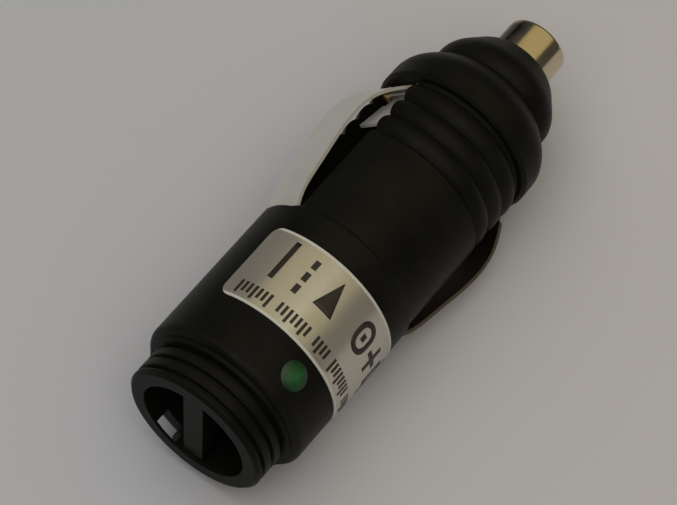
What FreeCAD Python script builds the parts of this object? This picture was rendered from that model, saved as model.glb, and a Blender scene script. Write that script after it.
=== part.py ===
import FreeCAD, Part
import math
import os

V = FreeCAD.Vector

# Main sizes in millimetres, x measured forward from the rear face of the neck
TOTAL_LENGTH = 65.2
BARREL_R = 10.4
BODY_STEP = 0.3
BARREL_FRONT_X = 25.4
CAP_REAR_X = 47.5
CAP_FRONT_X = 60.3
TIP_R = 3.9
WALL = 2.4

# Rear neck with its thread-like ribs, cord openings and tie slot
NECK_LENGTH = 5.0
NECK_R = 8.9
NECK_COLLAR_R = 9.5
NECK_BORE_R = 6.8
NECK_GROOVES = 3
NECK_GROOVE_X = 1.0
NECK_PITCH = 1.6
NECK_GROOVE_W = 0.6
NECK_GROOVE_DEPTH = 0.5
BARREL_EDGE_R = 0.9
BAR_WIDTH = 2.6
BAR_OFFSET = 0.3
BAR_RECESS = 0.4
TIE_SLOT_ANGLE = -53.0
TIE_SLOT_W = 3.2
TIE_SLOT_X = 0.35
TIE_SLOT_LEN = 1.9

# Coarse ridges on the front of the body
RIDGES = 3
RIDGE_X = 38.9
RIDGE_PITCH = 2.65
RIDGE_DEPTH = 0.55

# Side channels and the spring strips lying in them
STRIP_ANGLE = 41.0
STRIP_W = 5.7
STRIP_T = 0.4
STRIP_SIDE_GAP = 0.25
STRIP_END_GAP = 0.3
STRIP_REAR_SINK = 0.5
STRIP_BULGE_X = 37.4
STRIP_BULGE = 2.05
STRIP_RISE = 0.66
STRIP_FALL = 0.84
STRIP_PULL = 1.1
STRIP_SAMPLES = 9
FOLD_X = 46.4
FOLD_SINK = 2.1
FOLD_W = 4.6
FOLD_NECK_LEN = 1.5
FOLD_SLOPE = 36.0
INNER_LEAF_LEN = 5.4
INNER_LEAF_SLOPE = 8.0
PIN_R = 0.42
PIN_GAP = 0.05
CHANNEL_DEPTH = 5.7

# Ground frame
FRAME_T = 0.5
FRAME_LEG_W = 5.0
FRAME_BRIDGE_X = 19.4
EAR_GAP = 0.15
EAR_LEN = 1.6
EAR_TOP = 0.7
LUG_LEN = 12.0
LUG_SIDE_GAP = 0.25
LUG_WALL_GAP = 0.05
LUG_HOLE_R = 0.8
LUG_HOLE_LEN = 7.0

# Front spigot, nose cap and insulating washer
SPIGOT_R = 7.2
SPIGOT_LEN = 4.2
SPIGOT_CHAMFER = 0.5
THREAD_GAP = 0.06
FACE_GAP = 0.05
CAP_STOP_GAP = 0.3
CAP_CAVITY_R = 5.6
CAP_LIP = 0.4
CAP_WAIST_X = 54.4
CAP_WAIST_R = 7.5
CAP_WALL = 2.0
CAP_END_RIM = 1.1
CAP_RING_FLAT = 0.35
CAP_RING_CURVE = ((0.60, 0.16), (0.81, 0.53))
CAP_NOSE_CURVE = ((0.22, 0.19), (0.42, 0.08), (0.70, -0.38), (0.90, -0.75))
WASHER_T = 0.8
WASHER_GAP = 0.2

# Tip contact, fuse, spring and centre terminal
TIP_GAP = 0.1
TIP_EDGE_R = 0.45
FLANGE_R = 4.8
FLANGE_T = 1.6
FUSE_RECESS = 0.6
FUSE_CAP_R = 2.6
FUSE_CAP_LEN = 5.0
FUSE_CAP_T = 0.3
FUSE_SLIDE_GAP = 0.2
FUSE_LENGTH = 20.0
FUSE_GLASS_T = 0.45
FUSE_WIRE_R = 0.15
SPRING_WIRE_R = 0.3
SPRING_TURNS = 5
SPRING_STEPS = 12
SPRING_GAP = 0.3
TERMINAL_T = 0.8
TERMINAL_TAIL_R = 0.9
TERMINAL_TAIL_LEN = 9.0
BULKHEAD_T = 5.0

# Pilot lamp, its board, leads and resistor
LAMP_X = 8.7
LAMP_ANGLE = STRIP_ANGLE + 90.0
LAMP_R = 1.7
LAMP_PROUD = 0.35
LAMP_FLANGE_R = 2.1
LAMP_FLANGE_T = 1.0
LEAD_R = 0.25
LEAD_SPACING = 1.9
LEAD_LEN = 1.77
BOARD_T = 0.8
BOARD_W = 11.0
BOARD_LEN = 9.0
LEDGE_W = 1.6
LEDGE_T = 1.0
RESISTOR_R = 0.9
RESISTOR_LEN = 4.0

# Foil label wrapped round the barrel
LABEL_X = 11.4
LABEL_W = 10.4
LABEL_T = 0.12
LABEL_START = 58.0
LABEL_END = 252.0
LABEL_CORNER_R = 1.3

# Sizes that follow from the ones above
BODY_R = BARREL_R - BODY_STEP
STRIP_REAR_R = BARREL_R - STRIP_REAR_SINK
STRIP_BULGE_R = BARREL_R + STRIP_BULGE
FOLD_R = BARREL_R - FOLD_SINK
CHANNEL_FLOOR_R = BARREL_R - CHANNEL_DEPTH
CHAMBER_R = BARREL_R - WALL
CHANNEL_W = STRIP_W + 2.0 * STRIP_SIDE_GAP
CHANNEL_REAR_X = BARREL_FRONT_X - STRIP_END_GAP
CHAMBER_FRONT_X = CHANNEL_REAR_X - BULKHEAD_T
FUSE_BORE_R = FUSE_CAP_R + FUSE_SLIDE_GAP
SPIGOT_END_X = CAP_REAR_X + SPIGOT_LEN
CAP_END_R = TIP_R + TIP_GAP + CAP_END_RIM
WASHER_FRONT_X = CAP_FRONT_X - CAP_WALL - FACE_GAP
WASHER_REAR_X = WASHER_FRONT_X - WASHER_T
FLANGE_REAR_X = WASHER_REAR_X - FLANGE_T
FUSE_FRONT_X = FLANGE_REAR_X + FUSE_RECESS
FUSE_REAR_X = FUSE_FRONT_X - FUSE_LENGTH
FUSE_BORE_X = CHANNEL_REAR_X
TERMINAL_FRONT_X = FUSE_BORE_X + TERMINAL_T
FUSE_GLASS_R = FUSE_CAP_R - FUSE_CAP_T
SPRING_R = FUSE_BORE_R - SPRING_GAP - SPRING_WIRE_R
FOLD_INNER_R = PIN_R + PIN_GAP
FOLD_OUTER_R = FOLD_INNER_R + STRIP_T
EAR_INNER = FOLD_W / 2.0 + EAR_GAP
EAR_OUTER = EAR_INNER + FRAME_T
LAMP_FLANGE_TOP = math.sqrt(CHAMBER_R ** 2 - LAMP_FLANGE_R ** 2)
LAMP_BASE_R = LAMP_FLANGE_TOP - LAMP_FLANGE_T
BOARD_TOP_R = LAMP_BASE_R - LEAD_LEN
BOARD_R = BOARD_TOP_R - BOARD_T
LAMP_DOME_R = (LAMP_R ** 2 + LAMP_PROUD ** 2) / (2.0 * LAMP_PROUD)
LUG_HALF_W = BOARD_R - LEDGE_T - LUG_SIDE_GAP
LUG_TOP_R = math.sqrt((CHAMBER_R - LUG_WALL_GAP) ** 2 - LUG_HALF_W ** 2)


def pt(x, r):
    """Point of a profile drawn in the upright plane through the axis."""
    return V(x, 0.0, r)


def line(a, b):
    """Straight edge between two (x, r) points."""
    return Part.LineSegment(pt(*a), pt(*b)).toShape()


def arc(a, m, b):
    """Arc edge through three (x, r) points."""
    return Part.Arc(pt(*a), pt(*m), pt(*b)).toShape()


def face(edges):
    """Flat face bounded by a closed run of edges."""
    return Part.Face(Part.Wire(edges))


def turned(edges):
    """Solid of revolution about the plug axis."""
    return face(edges).revolve(V(0, 0, 0), V(1, 0, 0), 360)


def polygon(points):
    """Closed run of straight edges through (x, r) points."""
    return [line(a, b) for a, b in zip(points, points[1:] + points[:1])]


def rod(x0, x1, r):
    """Cylinder on the plug axis."""
    return Part.makeCylinder(r, x1 - x0, V(x0, 0, 0), V(1, 0, 0))


def block(x0, x1, w0, w1, r0, r1):
    """Box with its sides along the axis, tangent and radius."""
    return Part.makeBox(x1 - x0, w1 - w0, r1 - r0, V(x0, w0, r0))


def post(x, w, r0, r1, radius):
    """Cylinder standing along the radius."""
    return Part.makeCylinder(radius, r1 - r0, V(x, w, r0), V(0, 0, 1))


def at_angle(shape, angle):
    """Turn a shape drawn at the top to an angle measured from +Y to +Z."""
    turned_shape = shape.copy()
    turned_shape.rotate(V(0, 0, 0), V(1, 0, 0), angle - 90.0)
    return turned_shape


def strip_angles():
    """Angles of the two opposite side channels."""
    return (STRIP_ANGLE, STRIP_ANGLE + 180.0)


def neck_profile():
    """Stepped outline of the rear neck, rib by rib."""
    points = [(0.0, 0.0), (0.0, NECK_R - BAR_RECESS), (BAR_RECESS, NECK_R)]
    half = NECK_GROOVE_W / 2.0
    for i in range(NECK_GROOVES):
        x = NECK_GROOVE_X + i * NECK_PITCH
        after = NECK_COLLAR_R if i == NECK_GROOVES - 1 else NECK_R
        points.append((x - half, NECK_R))
        points.append((x - half / 2.0, NECK_R - NECK_GROOVE_DEPTH))
        points.append((x + half / 2.0, NECK_R - NECK_GROOVE_DEPTH))
        points.append((x + half, after))
    points.append((NECK_LENGTH, NECK_COLLAR_R))
    return points


def ridge_edges():
    """Rounded ridges as a run of arcs with narrow valleys between."""
    edges = []
    root = BODY_R - RIDGE_DEPTH
    for i in range(RIDGES):
        x = RIDGE_X + i * RIDGE_PITCH
        mid = (x + RIDGE_PITCH / 2.0, BODY_R)
        edges.append(arc((x, root), mid, (x + RIDGE_PITCH, root)))
    return edges


def barrel_outside():
    """Solid outer form of the barrel with neck, ridges and spigot."""
    neck = neck_profile()
    edge = BARREL_EDGE_R
    root = BODY_R - RIDGE_DEPTH
    ridge_end = RIDGE_X + RIDGES * RIDGE_PITCH
    start = (NECK_LENGTH, BARREL_R - edge)
    middle = (NECK_LENGTH + edge * (1.0 - math.sqrt(0.5)), BARREL_R - edge * (1.0 - math.sqrt(0.5)))
    finish = (NECK_LENGTH + edge, BARREL_R)
    edges = [line(a, b) for a, b in zip(neck, neck[1:]) if a != b]
    if abs(NECK_COLLAR_R - start[1]) > 1e-6:
        edges.append(line(neck[-1], start))
    edges.append(arc(start, middle, finish))
    step = BARREL_R - BODY_R
    run = [finish, (BARREL_FRONT_X, BARREL_R), (BARREL_FRONT_X + step, BODY_R)]
    run += [(RIDGE_X - RIDGE_DEPTH, BODY_R), (RIDGE_X, root)]
    edges += [line(a, b) for a, b in zip(run, run[1:])]
    edges += ridge_edges()
    run = [(ridge_end, root), (CAP_REAR_X, root), (CAP_REAR_X, SPIGOT_R)]
    run += [(SPIGOT_END_X - SPIGOT_CHAMFER, SPIGOT_R), (SPIGOT_END_X, SPIGOT_R - SPIGOT_CHAMFER)]
    run += [(SPIGOT_END_X, 0.0), (0.0, 0.0)]
    edges += [line(a, b) for a, b in zip(run, run[1:])]
    return turned(edges)


def lamp_ledges():
    """Two moulded ledges in the chamber that carry the lamp board."""
    x0 = LAMP_X - BOARD_LEN / 3.0
    ledges = []
    for side in (-1.0, 1.0):
        inner = side * (BOARD_W / 2.0 - LEDGE_W)
        outer = side * (CHAMBER_R + WALL / 2.0)
        low, high = sorted((inner, outer))
        ledges.append(block(x0, x0 + BOARD_LEN, low, high, BOARD_R - LEDGE_T, BOARD_R))
    return at_angle(ledges[0].fuse(ledges[1]), LAMP_ANGLE).common(
        rod(x0, x0 + BOARD_LEN, CHAMBER_R + WALL / 2.0))


def make_barrel():
    """Moulded barrel: neck, handle part, channelled body and spigot in one."""
    body = barrel_outside()
    body = body.cut(rod(-1.0, NECK_LENGTH, NECK_BORE_R))
    body = body.cut(rod(NECK_LENGTH, CHAMBER_FRONT_X, CHAMBER_R))
    body = body.cut(rod(FUSE_BORE_X, SPIGOT_END_X + 1.0, FUSE_BORE_R))
    body = body.cut(rod(CHAMBER_FRONT_X - 1.0, FUSE_BORE_X + 1.0, TERMINAL_TAIL_R))
    half = CHANNEL_W / 2.0
    leg = FRAME_LEG_W / 2.0
    for angle in strip_angles():
        channel = block(CHANNEL_REAR_X, CAP_REAR_X, -half, half, CHANNEL_FLOOR_R, BARREL_R + 1.0)
        slot = block(CHAMBER_FRONT_X - 1.0, CHANNEL_REAR_X + 1.0, -leg, leg,
                     CHANNEL_FLOOR_R, CHANNEL_FLOOR_R + FRAME_T)
        body = body.cut(at_angle(channel.fuse(slot), angle))
    bar = block(BAR_RECESS, NECK_LENGTH, BAR_OFFSET - BAR_WIDTH / 2.0, BAR_OFFSET + BAR_WIDTH / 2.0,
                -NECK_BORE_R - BAR_RECESS, NECK_BORE_R + BAR_RECESS)
    tie_slot = block(TIE_SLOT_X, TIE_SLOT_X + TIE_SLOT_LEN, -TIE_SLOT_W / 2.0, TIE_SLOT_W / 2.0,
                     NECK_BORE_R - 1.0, BARREL_R)
    lamp_hole = post(LAMP_X, 0.0, BOARD_TOP_R, BARREL_R + 1.0, LAMP_R)
    body = body.fuse(bar).cut(at_angle(tie_slot, TIE_SLOT_ANGLE))
    body = body.fuse(lamp_ledges()).cut(at_angle(lamp_hole, LAMP_ANGLE))
    return body.removeSplitter()


def make_nose_cap():
    """Screwed nose cap with a large rear ring, a waist and a smaller front ring."""
    rear = CAP_REAR_X + FACE_GAP
    ring_len = CAP_WAIST_X - rear
    nose_len = CAP_FRONT_X - CAP_WAIST_X
    drop = BARREL_R - CAP_WAIST_R
    taper = CAP_WAIST_R - CAP_END_R
    flat = [(rear, BARREL_R - CAP_LIP), (rear + CAP_LIP, BARREL_R)]
    flat.append((rear + CAP_RING_FLAT * ring_len, BARREL_R))
    waist = (CAP_WAIST_X, CAP_WAIST_R)
    bulge = [flat[-1]] + [(rear + u * ring_len, BARREL_R - v * drop) for u, v in CAP_RING_CURVE] + [waist]
    nose = [waist] + [(CAP_WAIST_X + u * nose_len, CAP_WAIST_R + v * taper) for u, v in CAP_NOSE_CURVE]
    nose.append((CAP_FRONT_X, CAP_END_R))
    edges = [line(a, b) for a, b in zip(flat, flat[1:])]
    for run in (bulge, nose):
        curve = Part.BSplineCurve()
        curve.interpolate([pt(*p) for p in run])
        edges.append(curve.toShape())
    bore = SPIGOT_R + THREAD_GAP
    shoulder = SPIGOT_END_X + CAP_STOP_GAP
    run = [nose[-1], (CAP_FRONT_X, TIP_R + TIP_GAP), (CAP_FRONT_X - CAP_WALL, TIP_R + TIP_GAP)]
    run += [(CAP_FRONT_X - CAP_WALL, CAP_CAVITY_R), (shoulder, CAP_CAVITY_R), (shoulder, bore)]
    run += [(rear, bore), flat[0]]
    edges += [line(a, b) for a, b in zip(run, run[1:])]
    return turned(edges)


def make_nose_washer():
    """Insulating washer between the cap wall and the tip flange."""
    outer = CAP_CAVITY_R - WASHER_GAP
    return rod(WASHER_REAR_X, WASHER_FRONT_X, outer).cut(
        rod(WASHER_REAR_X, WASHER_FRONT_X, TIP_R + TIP_GAP))


def make_tip_contact():
    """Tip contact: rounded rod, retaining flange and seat for the fuse end."""
    e = TIP_EDGE_R
    k = e * (1.0 - math.sqrt(0.5))
    run = [(FUSE_FRONT_X, 0.0), (FUSE_FRONT_X, FUSE_CAP_R), (FLANGE_REAR_X, FUSE_CAP_R)]
    run += [(FLANGE_REAR_X, FLANGE_R), (WASHER_REAR_X, FLANGE_R), (WASHER_REAR_X, TIP_R)]
    run += [(TOTAL_LENGTH - e, TIP_R)]
    edges = [line(a, b) for a, b in zip(run, run[1:])]
    edges.append(arc(run[-1], (TOTAL_LENGTH - k, TIP_R - k), (TOTAL_LENGTH, TIP_R - e)))
    edges.append(line((TOTAL_LENGTH, TIP_R - e), (TOTAL_LENGTH, 0.0)))
    edges.append(line((TOTAL_LENGTH, 0.0), run[0]))
    return turned(edges)


def make_fuse_cap(x_end, inward):
    """Metal end cup of the fuse, open toward the middle of the fuse."""
    x_wall = x_end + inward * FUSE_CAP_T
    x_open = x_end + inward * FUSE_CAP_LEN
    run = [(x_end, 0.0), (x_end, FUSE_CAP_R), (x_open, FUSE_CAP_R)]
    run += [(x_open, FUSE_GLASS_R), (x_wall, FUSE_GLASS_R), (x_wall, 0.0)]
    return turned(polygon(run))


def make_fuse_glass():
    """Glass tube of the fuse."""
    x0 = FUSE_REAR_X + FUSE_CAP_T
    x1 = FUSE_FRONT_X - FUSE_CAP_T
    return rod(x0, x1, FUSE_GLASS_R).cut(rod(x0, x1, FUSE_GLASS_R - FUSE_GLASS_T))


def make_fuse_element():
    """Fuse wire between the two end cups."""
    return rod(FUSE_REAR_X + FUSE_CAP_T, FUSE_FRONT_X - FUSE_CAP_T, FUSE_WIRE_R)


def spring_section(turn, x):
    """Six-sided section of the spring wire at one turn angle and place."""
    shape = Part.makePolygon([V(0, SPRING_WIRE_R * math.sin(i * math.pi / 3.0),
                                SPRING_R + SPRING_WIRE_R * math.cos(i * math.pi / 3.0)) for i in range(7)])
    shape.rotate(V(0, 0, SPRING_R), V(0, 0, 1), -90.0)
    shape.rotate(V(0, 0, 0), V(1, 0, 0), math.degrees(turn))
    shape.translate(V(x, 0, 0))
    return shape


def make_fuse_spring():
    """Coil spring between the centre terminal and the rear fuse cup."""
    x0 = TERMINAL_FRONT_X + SPRING_WIRE_R
    length = FUSE_REAR_X - TERMINAL_FRONT_X - 2.0 * SPRING_WIRE_R
    steps = SPRING_TURNS * SPRING_STEPS
    sections = [spring_section(2.0 * math.pi * i / SPRING_STEPS, x0 + length * i / steps)
                for i in range(steps + 1)]
    return Part.makeLoft(sections, True, True)


def make_centre_terminal():
    """Brass terminal: disc at the bottom of the fuse bore and a tail for the wire."""
    disc = rod(FUSE_BORE_X, TERMINAL_FRONT_X, FUSE_BORE_R)
    return disc.fuse(rod(FUSE_BORE_X - TERMINAL_TAIL_LEN, FUSE_BORE_X, TERMINAL_TAIL_R)).removeSplitter()


def strip_spline(points, first, last):
    """Smooth edge through points with given end directions."""
    curve = Part.BSplineCurve()
    curve.interpolate(Points=points, InitialTangent=first, FinalTangent=last)
    return curve


def make_contact_strip(angle):
    """Bowed spring strip with a hairpin fold round its anchor pin at the front."""
    b = math.radians(FOLD_SLOPE)
    g = math.radians(INNER_LEAF_SLOPE)
    rear_x = BARREL_FRONT_X
    bulge_h = STRIP_BULGE_R - STRIP_REAR_R
    end = (FOLD_X + FOLD_OUTER_R * math.sin(b), FOLD_R + FOLD_OUTER_R * math.cos(b))
    rise_x = rear_x + (STRIP_BULGE_X - rear_x) / 2.0
    fall_x = STRIP_BULGE_X + (end[0] - STRIP_BULGE_X) / 2.0
    fall_r = end[1] + (STRIP_BULGE_R - end[1]) * STRIP_FALL
    outer_pts = [pt(rear_x, STRIP_REAR_R), pt(rise_x, STRIP_REAR_R + bulge_h * STRIP_RISE),
                 pt(STRIP_BULGE_X, STRIP_BULGE_R), pt(fall_x, fall_r), pt(*end)]
    span = (end[0] - rear_x) * STRIP_PULL
    first = V(math.cos(b), 0, math.sin(b)) * span
    last = V(math.cos(b), 0, -math.sin(b)) * span
    outer = strip_spline(outer_pts, first, last)
    inner_pts = []
    for i in range(STRIP_SAMPLES):
        u = outer.FirstParameter + (outer.LastParameter - outer.FirstParameter) * i / (STRIP_SAMPLES - 1)
        t = outer.tangent(u)[0]
        inner_pts.append(outer.value(u) - V(-t.z, 0, t.x) * STRIP_T)
    inner = strip_spline(inner_pts, first, last)

    def ring(radius, direction):
        return (FOLD_X + radius * math.sin(direction), FOLD_R + radius * math.cos(direction))

    low = math.pi + g
    mid = (b + low) / 2.0
    back = (-INNER_LEAF_LEN * math.cos(g), INNER_LEAF_LEN * math.sin(g))
    o_low = ring(FOLD_OUTER_R, low)
    i_low = ring(FOLD_INNER_R, low)
    o_end = (o_low[0] + back[0], o_low[1] + back[1])
    i_end = (i_low[0] + back[0], i_low[1] + back[1])
    inner_rear = (inner_pts[0].x, inner_pts[0].z)
    edges = [outer.toShape(), arc(ring(FOLD_OUTER_R, b), ring(FOLD_OUTER_R, mid), o_low)]
    edges += [line(o_low, o_end), line(o_end, i_end), line(i_end, i_low)]
    edges += [arc(i_low, ring(FOLD_INNER_R, mid), ring(FOLD_INNER_R, b)), inner.toShape()]
    edges += [line(inner_rear, (rear_x, STRIP_REAR_R))]
    strip = face(Part.__sortEdges__(edges)).extrude(V(0, STRIP_W, 0))
    strip.translate(V(0, -STRIP_W / 2.0, 0))
    for side in (-1.0, 1.0):
        low_w, high_w = sorted((side * FOLD_W / 2.0, side * STRIP_W))
        strip = strip.cut(block(FOLD_X - FOLD_NECK_LEN, CAP_REAR_X, low_w, high_w,
                                CHANNEL_FLOOR_R, STRIP_BULGE_R))
    return at_angle(strip, angle)


def make_anchor_pin(angle):
    """Pin through the hairpin fold, held in the ears of the ground frame."""
    pin = Part.makeCylinder(PIN_R, 2.0 * EAR_OUTER, V(FOLD_X, -EAR_OUTER, FOLD_R), V(0, 1, 0))
    return at_angle(pin, angle)


def make_ground_frame():
    """Brass U frame: bridge and wire lug in the chamber, legs on the channel floors, ears for the pins."""
    leg = FRAME_LEG_W / 2.0
    top = CHANNEL_FLOOR_R + FRAME_T
    ear0 = FOLD_X - EAR_LEN / 2.0
    ear1 = FOLD_X + EAR_LEN / 2.0
    frame = block(FRAME_BRIDGE_X, FRAME_BRIDGE_X + FRAME_T, -leg, leg, -top, top)
    frame = frame.cut(rod(FRAME_BRIDGE_X - 1.0, FRAME_BRIDGE_X + 2.0, TERMINAL_TAIL_R * 2.0))
    frame = at_angle(frame, STRIP_ANGLE)
    lug_rear = FRAME_BRIDGE_X - LUG_LEN
    lug = block(lug_rear, FRAME_BRIDGE_X + FRAME_T, -LUG_HALF_W, LUG_HALF_W,
                CHANNEL_FLOOR_R, LUG_TOP_R)
    wire_hole = rod(lug_rear - 1.0, lug_rear + LUG_HOLE_LEN, LUG_HOLE_R)
    wire_hole.translate(V(0, 0, (CHANNEL_FLOOR_R + LUG_TOP_R) / 2.0))
    frame = frame.fuse(at_angle(lug.cut(wire_hole), strip_angles()[1]))
    for angle in strip_angles():
        side = block(FRAME_BRIDGE_X, ear1, -leg, leg, CHANNEL_FLOOR_R, top)
        side = side.fuse(block(ear0, ear1, -EAR_OUTER, EAR_OUTER, CHANNEL_FLOOR_R, top))
        for sign in (-1.0, 1.0):
            low, high = sorted((sign * EAR_INNER, sign * EAR_OUTER))
            side = side.fuse(block(ear0, ear1, low, high, CHANNEL_FLOOR_R, FOLD_R + EAR_TOP))
        hole = Part.makeCylinder(PIN_R, 4.0 * EAR_OUTER, V(FOLD_X, -2.0 * EAR_OUTER, FOLD_R), V(0, 1, 0))
        frame = frame.fuse(at_angle(side.cut(hole), angle))
    return frame.removeSplitter()


def make_indicator_lamp():
    """Green pilot lamp: flange inside the wall, body in the hole, low dome outside."""
    top = BARREL_R + LAMP_PROUD
    flange = post(LAMP_X, 0.0, LAMP_BASE_R, LAMP_FLANGE_TOP, LAMP_FLANGE_R)
    dome = Part.makeSphere(LAMP_DOME_R, V(LAMP_X, 0, top - LAMP_DOME_R))
    lamp = flange.fuse(post(LAMP_X, 0.0, LAMP_FLANGE_TOP, top, LAMP_R).common(dome))
    return at_angle(lamp.removeSplitter(), LAMP_ANGLE)


def make_lamp_lead(side):
    """One lead of the lamp, from its flange down to the board."""
    lead = post(LAMP_X + side * LEAD_SPACING / 2.0, 0.0, BOARD_TOP_R, LAMP_BASE_R, LEAD_R)
    return at_angle(lead, LAMP_ANGLE)


def make_lamp_board():
    """Small board that carries the lamp and its resistor."""
    x0 = LAMP_X - BOARD_LEN / 3.0
    half = BOARD_W / 2.0
    return at_angle(block(x0, x0 + BOARD_LEN, -half, half, BOARD_R, BOARD_TOP_R), LAMP_ANGLE)


def make_lamp_resistor():
    """Series resistor lying across the board in front of the lamp."""
    x = LAMP_X + BOARD_LEN / 3.0
    body = Part.makeCylinder(RESISTOR_R, RESISTOR_LEN,
                             V(x, -RESISTOR_LEN / 2.0, BOARD_TOP_R + RESISTOR_R), V(0, 1, 0))
    return at_angle(body, LAMP_ANGLE)


def make_foil_label():
    """Thin foil label wrapped round the barrel, with rounded corners."""
    x1 = LABEL_X + LABEL_W
    c = LABEL_CORNER_R
    section = face(polygon([(LABEL_X, BARREL_R), (LABEL_X, BARREL_R + LABEL_T),
                            (x1, BARREL_R + LABEL_T), (x1, BARREL_R)]))
    label = at_angle(section.revolve(V(0, 0, 0), V(1, 0, 0), LABEL_END - LABEL_START), LABEL_START)
    reach = (BARREL_R - 1.0, BARREL_R + 1.0)
    for angle, way in ((LABEL_START, -1.0), (LABEL_END, 1.0)):
        for x, turn in ((LABEL_X, 1.0), (x1, -1.0)):
            xs = sorted((x - turn, x + turn * c))
            ws = sorted((-way, way * c))
            corner = block(xs[0], xs[1], ws[0], ws[1], *reach)
            corner = corner.cut(post(x + turn * c, way * c, reach[0], reach[1], c))
            label = label.cut(at_angle(corner, angle))
    return label


def all_parts():
    """Every piece of the plug by node name."""
    upper, lower = strip_angles()
    return {
        "barrel": make_barrel(),
        "nose_cap": make_nose_cap(),
        "nose_washer": make_nose_washer(),
        "tip_contact": make_tip_contact(),
        "fuse_cap_front": make_fuse_cap(FUSE_FRONT_X, -1.0),
        "fuse_cap_rear": make_fuse_cap(FUSE_REAR_X, 1.0),
        "fuse_glass": make_fuse_glass(),
        "fuse_element": make_fuse_element(),
        "fuse_spring": make_fuse_spring(),
        "centre_terminal": make_centre_terminal(),
        "contact_strip_upper": make_contact_strip(upper),
        "contact_strip_lower": make_contact_strip(lower),
        "anchor_pin_upper": make_anchor_pin(upper),
        "anchor_pin_lower": make_anchor_pin(lower),
        "ground_frame": make_ground_frame(),
        "indicator_lamp": make_indicator_lamp(),
        "lamp_lead_front": make_lamp_lead(1.0),
        "lamp_lead_rear": make_lamp_lead(-1.0),
        "lamp_board": make_lamp_board(),
        "lamp_resistor": make_lamp_resistor(),
        "foil_label": make_foil_label(),
    }


os.makedirs("parts", exist_ok=True)
for name, shape in all_parts().items():
    piece = shape.Solids[0]
    piece.translate(V(-TOTAL_LENGTH / 2.0, 0.0, BARREL_R))
    piece.exportStep("parts/" + name + ".step")
    print(name, len(shape.Solids), piece.isValid(), round(piece.Volume, 2), piece.optimalBoundingBox(False))
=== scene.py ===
"""Studio scene of a car lighter-socket plug lying on a pale table."""
import logging
import math
from dataclasses import dataclass
from enum import Enum
from typing import Dict, List, Optional, Sequence, Tuple, Union

import bpy
import numpy as np
from mathutils import Matrix, Vector


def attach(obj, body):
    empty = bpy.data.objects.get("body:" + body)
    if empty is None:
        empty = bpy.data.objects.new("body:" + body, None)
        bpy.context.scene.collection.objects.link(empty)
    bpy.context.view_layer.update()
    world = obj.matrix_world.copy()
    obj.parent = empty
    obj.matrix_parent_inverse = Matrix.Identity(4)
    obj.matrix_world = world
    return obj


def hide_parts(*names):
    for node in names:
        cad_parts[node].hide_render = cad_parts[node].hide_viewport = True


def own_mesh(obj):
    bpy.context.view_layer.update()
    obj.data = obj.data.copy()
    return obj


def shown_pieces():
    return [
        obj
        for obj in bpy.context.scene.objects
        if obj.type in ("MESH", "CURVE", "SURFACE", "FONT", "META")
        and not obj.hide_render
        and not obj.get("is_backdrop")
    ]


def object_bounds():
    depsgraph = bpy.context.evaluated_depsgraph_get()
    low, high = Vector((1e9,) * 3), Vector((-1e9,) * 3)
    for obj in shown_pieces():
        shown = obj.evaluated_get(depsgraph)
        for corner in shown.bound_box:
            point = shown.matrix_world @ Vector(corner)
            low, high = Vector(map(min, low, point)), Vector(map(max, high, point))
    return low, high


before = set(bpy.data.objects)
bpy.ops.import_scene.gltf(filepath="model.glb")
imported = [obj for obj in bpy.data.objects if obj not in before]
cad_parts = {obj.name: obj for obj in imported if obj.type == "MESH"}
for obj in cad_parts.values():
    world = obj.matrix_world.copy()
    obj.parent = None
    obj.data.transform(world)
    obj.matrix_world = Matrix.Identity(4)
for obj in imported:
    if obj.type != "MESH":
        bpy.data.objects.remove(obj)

LOG = logging.getLogger("lighter_plug")
MM = 0.001
HALF_LENGTH = 32.6
AXIS_Z = 10.4
FULL_TURN = 2.0 * math.pi
SENSOR_WIDTH = 36.0
Colour = Tuple[float, float, float]
Span = Tuple[float, float]
Stroke = Tuple[np.ndarray, np.ndarray]
Value = Union[bpy.types.NodeSocket, float, Sequence[float]]


class Body(Enum):
    """Rigid bodies of the plug that the new pieces ride on."""

    BARREL = "barrel_body"


class Mark(Enum):
    """Simple printed shapes used on the foil label."""

    BAR = "bar"
    DASHES = "dashes"
    TRIANGLE = "triangle"
    RING = "ring"
    CROSS = "cross"
    BOX = "box"


@dataclass(frozen=True)
class PlasticFinish:
    """Moulded black plastic with a soft sheen.

    Attributes:
        dark: Base colour in the hollows of the grain.
        light: Base colour on the worn crests of the grain.
        worn: Span of the broad grain over which the colour changes.
        roughness: Mean surface roughness.
        spread: Change of the roughness over the fine grain.
        gloss: Strength of the surface reflection.
        grain: Depth of the moulded grain in metres.
        edge: Radius of the softened edges in metres.
    """

    dark: Colour = (0.0054, 0.0055, 0.0043)
    light: Colour = (0.0086, 0.0087, 0.0068)
    worn: Span = (0.35, 0.7)
    roughness: float = 0.44
    spread: float = 0.16
    gloss: float = 0.085
    grain: float = 0.000012
    edge: float = 0.00022


@dataclass(frozen=True)
class Thread:
    """Screw thread drawn as a bump on a stretch of plastic.

    Attributes:
        x: Rear and front of the stretch in millimetres from the rear rim.
        pitch: Rise of one turn in millimetres.
        flank: Height that a full saw tooth would have, in millimetres.
    """

    x: Span = (47.9, 51.2)
    pitch: float = 1.5
    flank: float = 1.2


@dataclass(frozen=True)
class MetalFinish:
    """Plated or plain metal.

    Attributes:
        colour: Reflection colour.
        stain: Colour of dull patches.
        roughness: Mean surface roughness.
        brushed: Depth of the drawn lines in metres.
        stained: Share of the stain colour in dull patches.
        metallic: Share of pure metal reflection.
        patches: Span of the broad grain over which patches appear.
        spread: Change of the roughness over the broad grain.
        scale: Fineness of the grain.
    """

    colour: Colour
    stain: Colour
    roughness: float
    brushed: float = 0.000004
    stained: float = 0.35
    metallic: float = 1.0
    patches: Span = (0.45, 0.8)
    spread: float = 0.2
    scale: float = 1.4


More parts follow.
